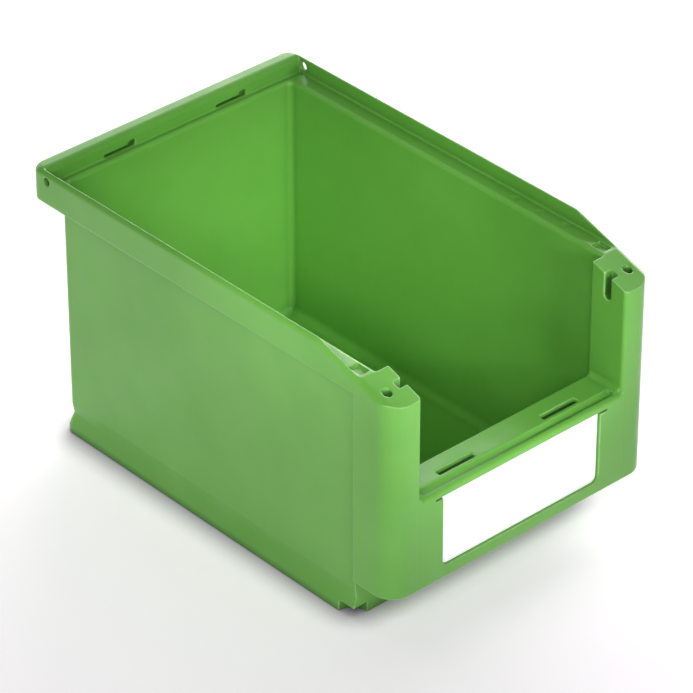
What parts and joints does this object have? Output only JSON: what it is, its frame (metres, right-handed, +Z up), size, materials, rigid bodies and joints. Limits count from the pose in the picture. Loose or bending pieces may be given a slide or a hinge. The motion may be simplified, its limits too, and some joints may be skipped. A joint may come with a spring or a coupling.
{
  "type": "stackable open-front storage bin",
  "caption": "Stackable open-front storage bin with a rolled rim over an inner stacking ledge, hollow front posts, a low front wall and a blank label card under its lip.",
  "frame": {"origin": "middle of the outer box, on the surface that the bin stands on", "axes": "+X across the bin to the right as seen from its open front, +Y from the open front to the back, +Z up; the front frame faces -Y"},
  "size_m": [0.15, 0.23, 0.138],
  "materials": {
    "bin_plastic": "satin",
    "card": "matte"
  },
  "bodies": {
    "bin": {"bin_body": "bin_plastic"},
    "card": {"label_card": "card"}
  },
  "joints": [
    {"name": "label_out", "type": "slide", "parent": "bin", "child": "card", "axis": [0, -1, 0], "range_m": [0, 0.04]}
  ]
}
